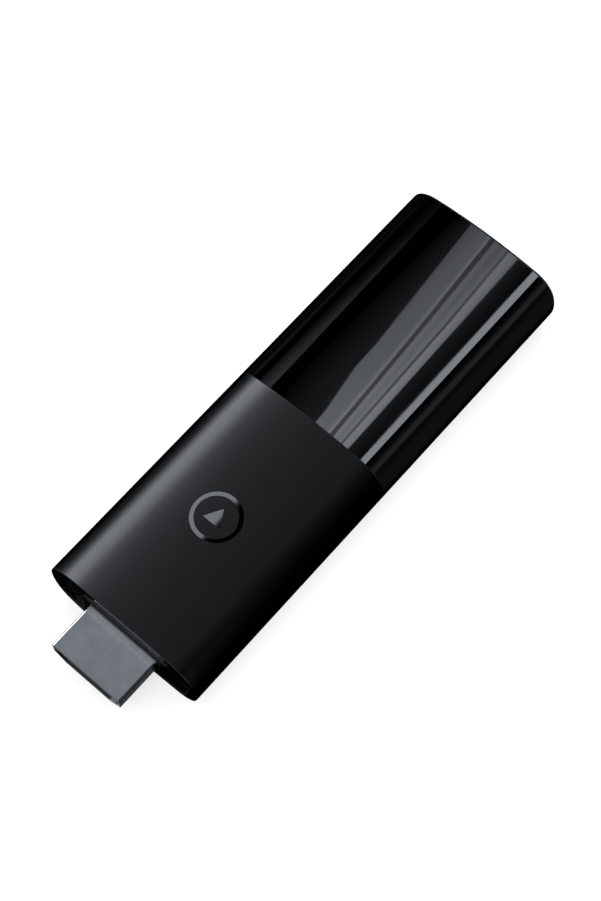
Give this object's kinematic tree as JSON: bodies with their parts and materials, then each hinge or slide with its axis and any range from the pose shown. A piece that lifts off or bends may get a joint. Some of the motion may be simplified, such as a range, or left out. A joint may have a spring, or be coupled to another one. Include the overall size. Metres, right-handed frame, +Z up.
{
  "type": "streaming media player",
  "caption": "Slim oval stick, half matt and half piano black, that plugs into a television's video socket and plays streamed media; power socket in one long side.",
  "frame": {"origin": "centre of the whole stick, plug included, on the surface that it lies on", "axes": "+Y along the stick from the plug to the far end, +Z up through the face with the emblem, +X across, away from the side with the power socket"},
  "size_m": [0.03, 0.095, 0.0145],
  "materials": {
    "matt_casing": "fine matt charcoal moulded plastic",
    "gloss_casing": "piano-black moulded plastic, polished",
    "end_plastic": "black moulded plastic, satin",
    "emblem": "glossy grey inlay",
    "plug_steel": "satin nickel-plated folded steel",
    "plug_plastic": "black connector plastic",
    "gold_contact": "gold-plated contact",
    "socket_steel": "nickel-plated folded steel",
    "clear_plastic": "frosted clear plastic",
    "led_plastic": "diode body",
    "carrier_plastic": "dark moulded plastic",
    "screw_steel": "zinc-plated steel",
    "board_laminate": "solder-masked laminate",
    "chip_plastic": "moulded chip package",
    "module_can": "tinned steel can",
    "crystal_can": "crystal can",
    "ferrite": "ferrite",
    "capacitor_ceramic": "ceramic with tinned ends",
    "resistor_ceramic": "ceramic with tinned ends",
    "shield_steel": "tinned sheet steel",
    "thermal_pad": "soft thermal pad",
    "spreader_aluminium": "plain aluminium sheet",
    "antenna_metal": "stamped plated bronze"
  },
  "bodies": {
    "root": {"front_sleeve": "matt_casing", "rear_cap": "gloss_casing", "end_plate": "end_plastic", "emblem_inlay": "emblem", "plug_shell": "plug_steel", "plug_insulator": "plug_plastic", "plug_contacts": "gold_contact", "socket_shell": "socket_steel", "socket_tongue": "plug_plastic", "socket_contacts": "gold_contact", "light_guide": "clear_plastic", "status_led": "led_plastic", "lower_carrier": "carrier_plastic", "upper_carrier": "carrier_plastic", "board_screws": "screw_steel", "main_board": "board_laminate", "processor": "chip_plastic", "memory_chips": "chip_plastic", "flash_chip": "chip_plastic", "wireless_module": "module_can", "power_chip": "chip_plastic", "crystal": "crystal_can", "inductors": "ferrite", "capacitors": "capacitor_ceramic", "resistors": "resistor_ceramic", "shield_frame": "shield_steel", "shield_lid": "shield_steel", "chip_pad": "thermal_pad", "lid_pad": "thermal_pad", "lower_pad": "thermal_pad", "upper_spreader": "spreader_aluminium", "lower_spreader": "spreader_aluminium", "wifi_antenna": "antenna_metal", "remote_antenna": "antenna_metal"}
  },
  "joints": []
}
